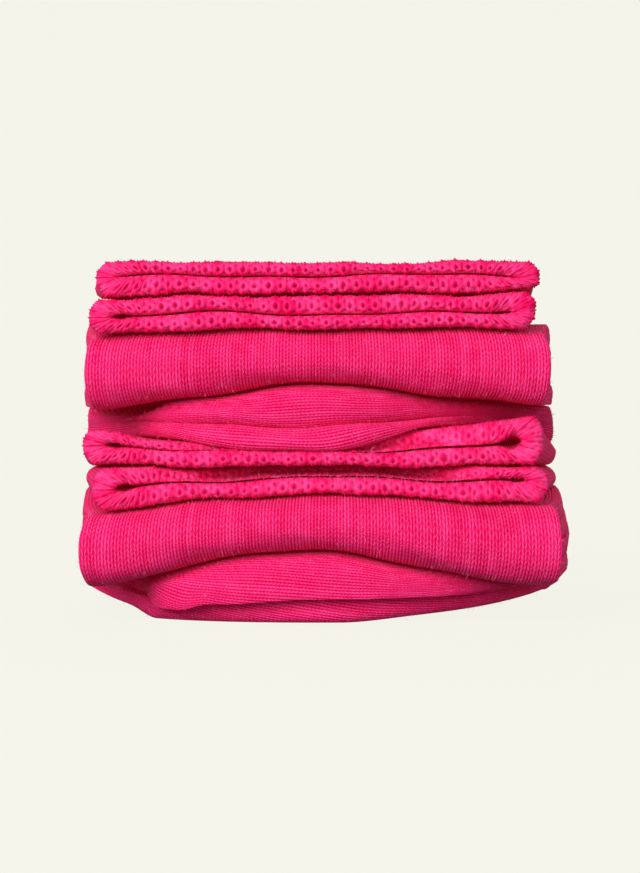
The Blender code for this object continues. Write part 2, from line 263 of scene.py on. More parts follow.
SIDE_BAND = 3.0 * MM
FRONT_COLUMNS = 6  # columns of points to a wale where the fold shows from the front
BACK_COLUMNS = 3
STRAIGHT_STEP = 7.0 * MM  # between rows of points where the folded legs lie straight
CUFF_COLUMNS = 6
BODY_COLUMNS = 2
BODY_STEP = 4.0 * MM  # between rows of points on the outside of a cuff that is covered
TOP_COLUMNS = 4
TOP_STEP = 2.0 * MM


FACINGS = {
    # facing: axis of the surface's direction, its sign, and the two axes that places on it are given in
    "front": (1, -1, 0, 2),
    "back": (1, 1, 0, 2),
    "left": (0, -1, 1, 2),
    "right": (0, 1, 1, 2),
    "top": (2, 1, 0, 1),
}

CREASE_RIDGE = 0.45  # height of the ridges beside a crease, as a share of its depth
CREASES = {
    # node: facing, start, end, bow, half width and depth of each trough, in millimetres
    "upper_top_cuff": (
        ("top", -34.0, -40.0, -8.0, 8.0, 3.0, 3.6, 1.42),
        ("top", 10.0, -46.0, 30.0, -12.0, -2.5, 3.0, 1.14),
        ("top", -20.0, 30.0, 16.0, 12.0, 2.0, 4.2, 1.33),
        ("top", 22.0, 34.0, 40.0, 6.0, 1.5, 2.6, 0.95),
        ("top", -43.0, 4.0, -28.0, 28.0, 1.0, 3.0, 1.04),
        ("top", -4.0, -30.0, 10.0, -4.0, 1.0, 2.4, 0.66),
        ("front", -20.0, 68.4, -4.0, 69.3, 0.4, 1.2, 0.25),
        ("front", 16.0, 65.2, 30.0, 66.0, 0.3, 1.1, 0.25),
    ),
    "upper_under_cuff": (
        ("front", -30.0, 61.4, -12.0, 62.4, 0.3, 1.2, 0.3),
        ("front", 22.0, 62.3, 36.0, 61.2, 0.5, 1.3, 0.35),
    ),
    "upper_folded_legs": (
        ("front", -44.0, 53.5, -27.0, 49.4, 1.2, 3.2, 0.20),
        ("front", -16.0, 55.2, 8.0, 52.2, -1.0, 3.8, 0.12),
        ("front", 14.0, 49.6, 34.0, 52.2, 1.4, 3.4, 0.14),
        ("front", 31.0, 55.0, 43.0, 52.2, 0.6, 2.6, 0.18),
        ("back", -36.0, 66.5, -6.0, 62.0, 1.2, 3.0, 1.0),
        ("back", 6.0, 60.0, 38.0, 64.5, -1.4, 3.4, 0.9),
        ("back", -30.0, 45.5, 2.0, 41.0, 1.6, 3.2, 1.0),
        ("back", 18.0, 42.0, 40.0, 47.0, 1.0, 2.6, 0.8),
        ("left", -30.0, 50.0, 6.0, 47.0, 1.0, 2.0, 0.8),
        ("left", 12.0, 56.0, 40.0, 60.0, -1.0, 2.0, 0.8),
        ("right", -34.0, 48.0, -4.0, 52.0, 1.0, 2.0, 0.8),
        ("right", 8.0, 44.0, 38.0, 47.0, 0.8, 2.0, 0.8),
    ),
    "upper_top_foot": (
        ("front", -34.0, 41.2, -8.0, 42.0, -0.8, 1.5, 0.30),
        ("front", 6.0, 44.6, 34.0, 43.4, 1.0, 1.6, 0.28),
    ),
    "upper_under_foot": (
        ("front", -22.0, 36.4, 6.0, 35.8, -0.5, 1.0, 0.25),
    ),
    "lower_top_cuff": (
        ("front", -38.0, 32.4, -20.0, 31.6, 0.3, 1.2, 0.35),
        ("front", 8.0, 31.2, 28.0, 32.4, -0.5, 1.3, 0.35),
    ),
    "lower_under_cuff": (
        ("front", -26.0, 26.6, -8.0, 27.2, 0.4, 1.3, 0.35),
        ("front", 14.0, 26.2, 34.0, 25.2, 0.5, 1.3, 0.35),
    ),
    "lower_folded_legs": (
        ("front", -45.0, 10.0, -26.0, 15.2, -1.2, 3.2, 0.24),
        ("front", -38.0, 19.6, -16.0, 17.4, 1.0, 3.6, 0.15),
        ("front", -6.0, 22.6, 20.0, 19.6, 1.2, 4.0, 0.12),
        ("front", 16.0, 14.6, 38.0, 12.4, 1.0, 3.4, 0.18),
        ("front", 33.0, 20.8, 46.0, 16.4, 0.8, 3.0, 0.20),
        ("back", -38.0, 30.0, -4.0, 25.5, 1.4, 3.2, 1.0),
        ("back", 8.0, 24.0, 40.0, 30.0, -1.2, 3.4, 1.0),
        ("back", -26.0, 12.5, 8.0, 8.0, 1.4, 3.0, 1.0),
        ("back", 16.0, 7.0, 38.0, 13.0, 1.0, 2.8, 0.9),
        ("left", -34.0, 15.0, 0.0, 12.0, 1.0, 2.2, 0.8),
        ("left", 10.0, 22.0, 40.0, 26.0, -1.0, 2.2, 0.8),
        ("right", -32.0, 12.0, 2.0, 17.0, 1.2, 2.2, 0.8),
        ("right", 6.0, 26.0, 38.0, 22.0, 1.0, 2.2, 0.8),
    ),
    "lower_top_foot": (
        ("front", -24.0, 9.4, 0.0, 8.6, -0.8, 1.8, 0.34),
        ("front", 8.0, 10.4, 30.0, 7.4, 0.6, 1.6, 0.34),
    ),
    "lower_under_foot": (
        ("front", -40.4, 4.4, -33.0, 0.6, 0.4, 0.9, 0.26),
        ("front", -37.4, 4.2, -30.4, 1.0, 0.4, 0.8, 0.22),
        ("front", -20.0, 2.4, 10.0, 2.2, -0.4, 1.2, 0.3),
    ),
}


def curve(at, knots, values):
    """A smooth curve through the values at the knots, held level beyond both ends."""
    knots, values = np.asarray(knots, float), np.asarray(values, float)
    at = np.clip(at, knots[0], knots[-1])
    low, high = np.r_[0, 0 : len(knots) - 1], np.r_[1 : len(knots), len(knots) - 1]
    slopes = (values[high] - values[low]) / (knots[high] - knots[low])
    i = np.clip(np.searchsorted(knots, at, side="right") - 1, 0, len(knots) - 2)
    span = knots[i + 1] - knots[i]
    u = (at - knots[i]) / span
    rise = values[i + 1] - values[i]
    a = slopes[i] * span - rise
    b = rise - slopes[i + 1] * span
    return values[i] + u * rise + u * (1.0 - u) * (a * (1.0 - u) + b * u)


def blend(u):
    u = np.clip(u, 0.0, 1.0)
    return u * u * (3.0 - 2.0 * u)


def rest_levels(base):
    cuffs = base + 3.0 * PASS
    return (
        base + SOCK,
        base + PAIR + SEAM / 2.0,
        cuffs - SEAM / 2.0,
        cuffs + CLOTH,
        cuffs + SOCK,
        cuffs + SOCK + CLOTH,
        base + BUNDLE - SEAM / 2.0,
    )


LEVELS = np.array((0.0,) + rest_levels(0.0) + rest_levels(BUNDLE))


def underside(x):
    """Height of the lowest level above the floor, at the front."""
    return np.maximum(curve(x / MM, LIFT_STATIONS, LIFTS), 0.0) * MM


def front_height(x, level):
    """Height that a level of the stack has at the front, at x."""
    heights = np.stack([underside(x)] + [curve(x / MM, STATIONS, line[1:]) * MM for line in LINES])
    i = np.clip(np.searchsorted(LEVELS, level, side="right") - 1, 0, len(LEVELS) - 2)
    u = (level - LEVELS[i]) / (LEVELS[i + 1] - LEVELS[i])
    lower = np.take_along_axis(heights, i[None], 0)[0]
    upper = np.take_along_axis(heights, i[None] + 1, 0)[0]
    return lower + u * (upper - lower)


def settle(x, y, level):
    """Moves points of the level stack to their height in the pile."""
    x, y, level = np.broadcast_arrays(x, y, level)
    far_right = blend((x - 24.0 * MM) / (20.0 * MM)) * blend((y - RIGHT_LEANS_FROM) / RIGHT_LEANS_OVER)
    x = x + far_right * curve(level / MM, RIGHT_LEVELS, RIGHT_LEANS) * MM
    share = level / (2.0 * BUNDLE)
    tilt = np.sin(x / SWAY_ACROSS + 2.2 * share + 0.6) * np.cos(y / SWAY_ALONG - 0.9)
    eased = (1.0 - LIFT_LEFT_BEHIND) * blend((y - LIFT_EASES) / (LIFT_EASED - LIFT_EASES))
    lift = underside(x) * (1.0 - eased) * np.maximum(1.0 - level / LIFT_FADES, 0.0)
    behind = level + lift + SWAY * np.minimum(2.0 * share, 1.0) * tilt
    weight = blend((LEVEL_STARTS - y) / (LEVEL_STARTS - FRONT_FORM_ENDS))
    ripple = np.zeros(x.shape)
    for length, turn in zip(RIPPLE_LENGTHS, RIPPLE_TURNS):
        ripple = ripple + np.sin(x / length + turn * level / MM) / len(RIPPLE_LENGTHS)
    ripple = RIPPLE * ripple * np.minimum(level / PAIR, 1.0) * (0.35 + 0.65 * weight)
    height = behind + weight * (front_height(x, level) - behind) + ripple
    return np.stack([x, y, height], axis=-1)


def side(bundle, hand, y, inset):
    x = curve(y / MM, SIDE_STATIONS, SIDES[f"{bundle}_{hand}"]) * MM
    return x + inset if hand == "left" else x - inset


def stitches(wale, course):
    """Height of the knit from 0 to 1: two slanting legs to a stitch, deeper between the wales."""
    across = np.abs(wale % 1.0 - 0.5)
    leg = 1.0 - ((across - 0.25) / 0.25) ** 2
    middle = 0.55 * np.exp(-((across / 0.13) ** 2))
    slant = np.sin(np.pi * ((course + 1.9 * across) % 1.0)) ** 0.8
    return np.maximum(leg * (1.0 - SLANT_SHARE + SLANT_SHARE * slant), middle)


def plain_wales(wale):
    """The same without its courses, for stretches with few rows of points."""
    across = np.abs(wale % 1.0 - 0.5)
    return np.maximum(0.85 * (1.0 - ((across - 0.25) / 0.25) ** 2), 0.5 * np.exp(-((across / 0.13) ** 2)))


def grid_normals(points, closed):
    if closed:
        across = np.roll(points, -1, 1) - np.roll(points, 1, 1)
    else:
        across = np.gradient(points, axis=1)
    normals = np.cross(np.gradient(points, axis=0), across)
    normals /= np.maximum(np.linalg.norm(normals, axis=-1, keepdims=True), 1e-12)
    return normals


def run_length(points):
    """Length along a line of points, from 0 at the first."""
    steps = np.linalg.norm(np.diff(points, axis=0), axis=1)
    return np.concatenate([[0.0], np.cumsum(steps)])


def wobble(a, b, seed, waves=7):
    """An uneven smooth wave over two coordinates, from about -1 to 1."""
    random = np.random.default_rng(seed)
    total = np.zeros(np.broadcast_shapes(np.shape(a), np.shape(b)))
    for _ in range(waves):
        heading, turn, phase = random.uniform((0.0, 0.5, 0.0), (math.pi, 1.5, 2.0 * math.pi))
        total = total + np.sin(turn * (a * math.cos(heading) + b * math.sin(heading)) + phase)
    return total / math.sqrt(waves)


def creased(points, normals, creases):
    """Presses soft troughs, each with a low ridge on either side, into what faces their way."""
    depth = np.zeros(points.shape[:2])
    for facing, a0, b0, a1, b1, bow, width, deep in creases:
        axis, sign, first, second = FACINGS[facing]
        a, b = points[..., first] / MM - a0, points[..., second] / MM - b0
        run_a, run_b = a1 - a0, b1 - b0
        span = math.hypot(run_a, run_b)
        along = (a * run_a + b * run_b) / span**2
        off = (a * run_b - b * run_a) / span - 4.0 * bow * along * (1.0 - along)
        off = np.abs(off) / width
        taper = blend(along / 0.3) * blend((1.0 - along) / 0.3)
        faces = blend(sign * normals[..., axis] / 0.6)
        ridge = CREASE_RIDGE * np.exp(-((off - 2.0) ** 2))
        depth += deep * MM * taper * faces * (np.exp(-(off**2)) - ridge)
    return points - normals * depth[..., None]


class Skin:
    """Gathers grids of points into one mesh, each creased, then raised by its knit's relief."""

    def __init__(self, name, node):
        self.name, self.node = name, node
        self.points, self.faces, self.knit, self.kind = [], [], [], []
        self.count = 0

    def add(self, points, wale, course, relief, welt, closed, flip, thread=None):
        """wale and course are the knit's counts, one column more than the points where closed; thread
        is how high the yarn lies, from 0 to 1, where welt is 1."""
        normals = grid_normals(points, closed) * (-1.0 if flip else 1.0)
        shaped = creased(points, normals, CREASES[self.node])
        raised = shaped + normals * relief[..., None]
        self.last_points, self.last_normals = raised, normals
        rows, cols = points.shape[:2]
        i, j = np.meshgrid(np.arange(rows - 1), np.arange(cols if closed else cols - 1), indexing="ij")
        corners = [(i, j), (i, j + 1), (i + 1, j + 1), (i + 1, j)]
        if not flip:
            corners.reverse()
        quads = np.stack([self.count + r * cols + c % cols for r, c in corners], axis=-1)
        knit = np.stack([np.stack([wale[r, c], course[r, c]], -1) for r, c in corners], axis=2)
        welts = np.stack([welt[r, c % cols] for r, c in corners], axis=2)
        thread = np.zeros(welt.shape) if thread is None else thread
        threads = np.stack([thread[r, c % cols] for r, c in corners], axis=2)
        self.points.append(raised.reshape(-1, 3))
        self.faces.append(quads.reshape(-1, 4))
        self.knit.append(knit.reshape(-1, 2))
        self.kind.append(np.stack([welts.ravel(), threads.ravel()], axis=-1))
        self.count += rows * cols

    def fuzz(self, count, longest, seed, rows, look):
        """Short loose fibres, joined into one piece, on random points of the rows added last."""
        random = np.random.default_rng(seed)
        first, last = (int(share * self.last_points.shape[0]) for share in rows)
        r = random.integers(first, last, count)
        c = random.integers(0, self.last_points.shape[1], count)
        root, normal = self.last_points[r, c], self.last_normals[r, c]
        lean = random.normal(size=(count, 3))
        lean -= normal * (lean * normal).sum(axis=1, keepdims=True)
        lean /= np.linalg.norm(lean, axis=1, keepdims=True)
        across = np.cross(normal, lean)
        length = longest * random.uniform(0.35, 1.0, (count, 1)) ** 1.5
        bend = random.uniform(0.8, 2.8, (count, 1))
        rows_of_points = []
        for share, width in zip((0.0, 0.4, 0.75, 1.0), (1.0, 0.9, 0.6, 0.2)):
            up, out = np.sin(bend * share) / bend, (1.0 - np.cos(bend * share)) / bend
            middle = root + length * (normal * up + lean * out)
            middle[:, 2] = np.maximum(middle[:, 2], FIBRE)
            rows_of_points += [middle - across * width * FIBRE / 2.0, middle + across * width * FIBRE / 2.0]
        points = np.stack(rows_of_points, axis=1).reshape(-1, 3)
        start = 8 * np.arange(count)[:, None]
        faces = np.concatenate([start + np.array([k, k + 1, k + 3, k + 2]) for k in (0, 2, 4)])
        mesh = bpy.data.meshes.new(f"{self.node}_fuzz")
        mesh.from_pydata(points.tolist(), [], faces.tolist())
        mesh.materials.append(look)
        piece = bpy.data.objects.new(f"{self.node}_fuzz", mesh)
        bpy.context.scene.collection.objects.link(piece)
        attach(piece, "root")
        return piece

    def build(self, look):
        mesh = bpy.data.meshes.new(self.name)
        points, faces = np.concatenate(self.points), np.concatenate(self.faces)
        mesh.from_pydata(points.tolist(), [], faces.tolist())
        for label, values in (("Knit", self.knit), ("Welt", self.kind)):
            layer = mesh.uv_layers.new(name=label)
            layer.uv.foreach_set("vector", np.concatenate(values).astype(np.float32).ravel())
        mesh.shade_smooth()
        mesh.materials.append(look)
        piece = bpy.data.objects.new(self.name, mesh)
        bpy.context.scene.collection.objects.link(piece)
        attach(piece, "root")
        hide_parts(self.node)
        return piece


# ------------------------------------------------
# Cuffs.


def around(share, left, right, reach, height, end_share):
    """Points round a flattened tube, from its left end over the top and back along the bottom."""
    upper = share < 0.5
    along = np.where(upper, share, 1.0 - share) * 2.0
    from_end = np.minimum(along, 1.0 - along) / end_share
    angle = np.clip(from_end, 0.0, 1.0) * math.pi / 2.0
    straight = np.maximum(right - left - 2.0 * reach, 0.0)
    onward = np.maximum(from_end - 1.0, 0.0) / (0.5 / end_share - 1.0) * straight / 2.0
    inset = reach * (1.0 - np.cos(angle)) + onward
    x = np.where(along <= 0.5, left + inset, right - inset)
    offset = height * np.sin(angle) * np.where(upper, 1.0, -1.0)
    return x, offset, inset


def body_rows(front, step):
    """Rows along the outside of a cuff, from its back to where the fine rows of its lip start."""
    y = np.r_[np.arange(LEG_END + TUCKED_IN, front + LIP_STARTS + step / 2.0, -step), front + LIP_STARTS]
    return y, np.zeros(len(y)), -(y - front - LIP) - LIP_ARC / 2.0


def lip_rows(front):
    """Rows from the last of the outside, round the lip, to the depth of the cuff's mouth."""
    near = np.linspace(front + LIP_STARTS, front + LIP, 11)[:-1]
    turn = np.linspace(0.0, math.pi, 23)
    inside = front + LIP + np.array([0.4, 1.0, 2.2, 5.0, 18.0]) * MM
    y = np.concatenate([near, front + LIP * (1.0 - np.sin(turn)), inside])
    inner = np.concatenate([np.zeros(len(near)), (1.0 - np.cos(turn)) / 2.0, np.ones(len(inside))])
    arc = np.concatenate(
        [
            -(near - front - LIP) - LIP_ARC / 2.0,
            LIP_ARC * (turn / math.pi - 0.5),
            inside - front - LIP + LIP_ARC / 2.0,
        ]
    )
    return y, inner, arc


def strayed(wale, arc, seed):
    """The wales' count with the loops of the turned edge leaning a little to either side."""
    from_seam = np.minimum(wale, CUFF_WALES - wale)
    return wale + 0.15 * blend(from_seam / 3.0) * wobble(wale * 1.7, arc / MM * 0.5, seed)


def welt_relief(wale, arc, from_end, loft, seed):
    """The turned edge: a pit in a ring to every two wales on its crest, and slanted strands beside. At
    the ends of the mouth the pits give way to strands."""
    lump = wobble(wale * 1.1, arc / MM * 1.3, seed + 1)
    size = 1.0 + 0.16 * wobble(wale * 0.9, arc / MM * 0.5, seed + 2)
    pair = ((wale / 2.0) % 1.0 - 0.5) * 2.0 * WALE
    away = np.hypot(pair, PIT_SQUEEZE * arc) * size
    open_knit = 0.25 + 0.75 * blend(from_end / PITS_FADE)
    pit = open_knit * np.exp(-((away / PIT) ** 2))
    ring = open_knit * np.exp(-(((away - PIT_RING) / RING_WIDTH) ** 2))
    across, along = (np.abs(pair) - WALE) / NOTCH_SIZE[0], (np.abs(arc) - NOTCH_PLACE) / NOTCH_SIZE[1]
    beside = np.hypot(across, along)
    notch = np.exp(-(beside**2))
    crest = open_knit * np.exp(-((arc / CREST) ** 2))
    knit = WELT_STITCHES * STITCH_DEPTH * (stitches(wale, arc / COURSE + 0.5) - 0.6)
    rough = ROUGH_YARN * wobble(wale * 6.0, arc / MM * 5.0, seed + 3, 11)
    out = (np.abs(arc) - SCALLOP_PLACE) / SCALLOP_REACH
    scallop = np.cos(math.pi * pair / WALE) * np.exp(-(out**2))
    relief = RING_HEIGHT * ring + (1.0 - crest) * knit - loft * SCALLOP * scallop + LUMP * lump
    return relief + rough - loft * PIT_DEPTH * pit - NOTCH_DEPTH * notch * open_knit


def cuff_grid(skin, bundle, low, rows, columns, body_relief):
    """Adds one grid of a cuff: its body, or its lip, whose rows stand closer together."""
    name = skin.node
    left_mm, right_mm, front_mm, back_mm, hole_left, hole_right, loft = CUFFS[name]
    height = (SOCK - SEAM / 2.0) / 2.0
    middle = low + height
    front = front_mm * MM
    y, inner, arc = (a[:, None] for a in rows)
    count = CUFF_WALES * columns
    share = np.arange(count)[None] / count
    drawn_in = CUFF_DRAWN_IN[name] * MM * (1.0 - blend((y - CUFF_EASES) / (LEG_END - CUFF_EASES)))
    behind = blend((y - front) / (LEG_END - front) * 2.0)
    left_behind = side(bundle, "left", y, (PASS_INSETS[f"{bundle}_left"][0] + 0.1) * MM)
    right_behind = side(bundle, "right", y, PASS_INSETS[f"{bundle}_right"][0] * MM + drawn_in)
    left = (1.0 - behind) * left_mm * MM + behind * left_behind
    right = (1.0 - behind) * right_mm * MM + behind * right_behind
    end = CUFF_END + (CUFF_END_BEHIND - CUFF_END) * blend((y - front) / (LEG_END - front))
    end_share = math.pi / 2.0 * end / (right - left - (4.0 - math.pi) * end)
    x_out, up_out, from_end = around(share, left, right, end, height, end_share)
    turned = up_out / height
    shift = HOLE_INSET * (1.0 - blend(from_end / HOLE_SHIFT_FADES))
    x_in = np.where(x_out < (left + right) / 2.0, x_out + shift, x_out - shift)
    hole = np.where(np.abs(share - 0.5) > 0.25, hole_left, hole_right) * MM
    tail = np.exp(-((np.maximum(from_end - end, 0.0) / HOLE_TAIL) ** 1.3))
    tail = tail * np.exp(-((np.maximum(y - front - LIP, 0.0) * (inner > 0.5) / HOLE_DEPTH) ** 2))
    up_in = turned * (SLIT / 2.0 + np.maximum(hole - SLIT / 2.0, 0.0) * tail)
    x = x_out + inner * (x_in - x_out)
    up = up_out + inner * (up_in - up_out)
    off_middle = (np.abs(x) - PUSHED_FULLY) / PUSHED_FADES
    pushed = back_mm * MM * blend(up / (0.5 * height)) * (1.0 - blend(off_middle))
    pushed = pushed * (1.0 - blend((y - front) / PUSHED_DEPTH))
    points = settle(x, y + pushed, middle + up)
    counted = np.arange(count + 1)[None] / columns
    near_lip = 1.0 - blend((np.abs(arc) - WELT_REACH) / WELT_FADES)
    seed = 10 * list(CUFFS).index(name)
    wale = counted + near_lip * (strayed(counted, arc, seed) - counted)
    course = np.broadcast_to(arc / COURSE, wale.shape)
    outside = body_relief * SHALLOW_STITCHES * (plain_wales(wale[:, :-1]) - 0.6) * (inner < 0.5)
    raised = welt_relief(wale[:, :-1], arc, from_end, loft, seed)
    relief = near_lip * raised + (1.0 - near_lip) * outside
    relief = relief * (1.0 - blend((arc - SMOOTH_INSIDE) / SMOOTH_OVER))
    # how high the welt's yarn lies, which the material draws as painted shade in the pits and painted
    # highlight on the rings
    thread = (raised - LOWEST_THREAD) / (HIGHEST_THREAD - LOWEST_THREAD)
    thread = SIDE_TONE + near_lip * (thread - SIDE_TONE)
    worn = SIDE_WEAR * (1.0 - blend(from_end / SIDE_BAND))
    welt = near_lip + (1.0 - near_lip) * worn
    skin.add(points, wale, course, relief, welt, True, True, np.clip(thread, 0.0, 1.0))


def cuff(bundle, name, low, looks):
    shown = name == "upper_top_cuff"
    body_relief = 1.0 if shown else 0.0
    front = CUFFS[name][2] * MM
    skin = Skin(f"{name}_knit", name)
    body_step, body_columns = (TOP_STEP, TOP_COLUMNS) if shown else (BODY_STEP, BODY_COLUMNS)
    cuff_grid(skin, bundle, low, body_rows(front, body_step), body_columns, body_relief)
    cuff_grid(skin, bundle, low, lip_rows(front), CUFF_COLUMNS, body_relief)
    seed = list(CUFFS).index(name)
    fibres = skin.fuzz(CUFF_FIBRES[bundle], LONGEST_FIBRE, seed, (0.05, 0.85), looks[1])
    return skin.build(looks[0]), fibres


# ------------------------------------------------
# Folded legs.


def leg_rows(bundle, base, visible_front, row_step):
    """Places along the folded legs: y, level, turn, count of passes and course, as columns."""
    front_bend = FOLD_FRONTS[bundle] + BEND
    upper_bend, lower_bend = (back - BEND for back in FOLD_BACKS[bundle])
    level = [base + SOCK + PASS * (3 - k) for k in range(4)]
    radius = PASS / 2.0
    outer_arc = math.pi * BEND
    fine, coarse = int(outer_arc / row_step), 6
    steps_front, steps_back = (fine, coarse) if visible_front else (coarse, fine)
    rows = []

    def straight(start, end, at, turn, which):
        count = max(int(abs(end - start) / STRAIGHT_STEP), 2)
        spaced = np.linspace(0.0, 1.0, count + 1)[1:-1]
        rows.extend((start + s * (end - start), at, turn, which) for s in spaced)

    def bend(centre, at, sign, which, steps, start_turn):
        for a in np.linspace(0.0, math.pi, steps + 1):
            y = centre + sign * radius * math.sin(a)
            turn = start_turn + sign * a if sign > 0 else start_turn - a
            rows.append((y, at + radius * (1.0 + math.cos(a)), turn, which + a / math.pi))

    rows.append((LEG_END, level[0], 0.0, 0.0))
    straight(LEG_END, upper_bend, level[0], 0.0, 0.0)
    bend(upper_bend, level[1], 1.0, 0.0, steps_back, 0.0)
    straight(upper_bend, front_bend, level[1], math.pi, 1.0)
    bend(front_bend, level[2], -1.0, 1.0, steps_front, math.pi)
    straight(front_bend, lower_bend, level[2], 0.0, 2.0)
    bend(lower_bend, level[3], 1.0, 2.0, steps_back, 0.0)
    straight(lower_bend, LEG_END, level[3], math.pi, 3.0)
    rows.append((LEG_END, level[3], math.pi, 3.0))
    return np.array(rows).T[..., None]


def over(share, left, right):
    """Points over one of two socks lying on each other, from their left groove to their right one."""
    arc = math.pi * (NOSE + CLOTH) / 2.0
    straight = right - left - 2.0 * NOSE
    along = share * (straight + 2.0 * arc)
    from_end = np.minimum(along, straight + 2.0 * arc - along)
    angle = np.clip(from_end / arc, 0.06, 1.0) * math.pi
    inset = np.where(from_end < arc, NOSE * (1.0 - np.sin(angle)), NOSE + from_end - arc)
    x = np.where(share <= 0.5, left + inset, right - inset)
    return x, CLOTH * (1.0 - np.cos(angle))


def folded_legs(bundle, base, looks):
    name = f"{bundle}_folded_legs"
    skin = Skin(f"{name}_knit", name)
    front_bend = FOLD_FRONTS[bundle] + BEND
    for sign, visible_front, across, row_step in (
        (1.0, False, BACK_COLUMNS, COURSE / 1.7),
        (-1.0, True, FRONT_COLUMNS, COURSE / 3.0),
    ):
        y, level, turn, which = leg_rows(bundle, base, visible_front, row_step)
        crest = np.where(y < front_bend, np.abs(np.sin(turn)), 0.0)
        near = 1.0 - np.clip((y - front_bend) / CORNER_REACH, 0.0, 1.0)
        corner = FOLD_CORNER * blend(near) * (1.0 - crest)
        edges = []
        for hand in ("left", "right"):
            inset = curve(which, (0.0, 1.0, 2.0, 3.0), PASS_INSETS[f"{bundle}_{hand}"]) * MM
            at_front = blend((front_bend + 20.0 * MM - y) / (20.0 * MM))
            edges.append(side(bundle, hand, y, inset * (1.0 - at_front) + corner))
        share = np.linspace(0.0, 1.0, LEG_WALES * across + 1)[None]
        x, offset = over(share, edges[0], edges[1])
        offset = offset * sign
        centre = np.where(y < front_bend, front_bend, y)
        from_centre = y - centre + offset * np.sin(turn)
        fuller = np.abs(np.sin(turn)) ** (ROUNDNESS - 1.0) if visible_front else 1.0
        fuller = np.where(y < front_bend, np.minimum(fuller, 4.0), 1.0)
        points = settle(x, centre + from_centre * fuller, level + offset * np.cos(turn))
        arc = run_length(points[:, points.shape[1] // 2])
        step = np.gradient(arc)
        finely = blend((0.75 * MM - step) / (0.35 * MM))[:, None]
        wale = np.broadcast_to(share * LEG_WALES, x.shape)
        course = np.broadcast_to((arc / COURSE)[:, None], x.shape)
        relief = finely * stitches(wale, course) + (1.0 - finely) * plain_wales(wale)
        relief = STITCH_DEPTH * (relief - 0.6)
        from_side = np.minimum(x - edges[0], edges[1] - x)
        worn = SIDE_WEAR * (1.0 - blend(from_side / SIDE_BAND)) * blend((y - front_bend) / (4.0 * MM))
        relief = relief * (1.0 - worn)
        skin.add(points, wale, course, relief, worn, False, sign > 0, np.full(x.shape, SIDE_TONE))
    seed = 20 + len(bundle)
    fibres = skin.fuzz(LEG_FIBRES, 0.7 * LONGEST_FIBRE, seed, (0.1, 0.75), looks[1])
    return skin.build(looks[0]), fibres


# ------------------------------------------------
# Feet.


def toe_outline(bundle, name, count):
    """Points along a foot's edge seen from above, from its back left round the toe to its back right."""
    left_mm, right_mm, tip_mm, left_power, right_power = FEET[name][:5]
    centre = (left_mm + right_mm) / 2.0 * MM
    inset = FOOT_INSETS[bundle] * MM
    steps = np.linspace(LEG_END + TUCKED_IN, TOE_STARTS, SIDE_STEPS)
    turn = np.linspace(0.0, math.pi / 2.0, TOE_STEPS)[1:]

    def half(hand, own_mm, power):
        y_toe = TOE_STARTS + (tip_mm * MM - TOE_STARTS) * np.sin(turn) ** (2.0 / power)
        share = blend((TOE_STARTS - y_toe) / TOE_WIDENS)
        behind = side(bundle, hand, y_toe, inset)
        edge = behind + share * (own_mm * MM - behind)
        x_toe = centre + (edge - centre) * np.abs(np.cos(turn)) ** (2.0 / power)
        return np.concatenate([side(bundle, hand, steps, inset), x_toe]), np.concatenate([steps, y_toe])

    x_left, y_left = half("left", left_mm, left_power)
    x_right, y_right = half("right", right_mm, right_power)
    x = np.concatenate([x_left, x_right[-2::-1]])
    y = np.concatenate([y_left, y_right[-2::-1]])
    length = np.concatenate([[0.0], np.cumsum(np.hypot(np.diff(x), np.diff(y)))])
    needed = np.r_[0.0, np.cumsum(np.diff(length) * np.where(y[1:] < TOE_STARTS - 8.0 * MM, 1.0, 0.4))]
    at = np.interp(np.linspace(0.0, needed[-1], count), needed, length)
    return np.interp(at, length, x), np.interp(at, length, y), at


def smoothed(values, reach):
    kernel = np.hanning(2 * reach + 3)[1:-1]
    padded = np.concatenate([np.full(reach, values[0]), values, np.full(reach, values[-1])])
    return np.convolve(padded, kernel / kernel.sum(), mode="valid")


def foot_rows(name, height, fine_bottom):
    """Rows from the middle of a foot's underside round its rim to the middle of its top: how far in,
    which share of the way to the foot's spine, and how high each lies."""
    lower_mm, upper_mm = FEET[name][5:]
    top = name.endswith("top_foot")
    first, last = (-MEETING_TURN, math.pi / 2.0) if top else (-math.pi / 2.0, MEETING_TURN)
    lower_shares = np.linspace(0.02, 1.0, 12) if fine_bottom else SPINE_SHARES
    lower_rim = lower_mm * (1.0 - math.cos(first))
    upper_rim = upper_mm * (1.0 - math.cos(last))
    rows = [(lower_rim * MM, share, -height) for share in lower_shares[::-1]]
    for a in np.linspace(first, last, RIM_ROWS):
        reach = lower_mm * MM if a < 0.0 else upper_mm * MM
        most = math.sin(abs(first if a < 0.0 else last))
        rows.append((reach * (1.0 - math.cos(a)), 0.0, height * math.sin(a) / most))
    rows += [(upper_rim * MM, share, height) for share in SPINE_SHARES]
    return (np.array(column)[:, None] for column in zip(*rows))


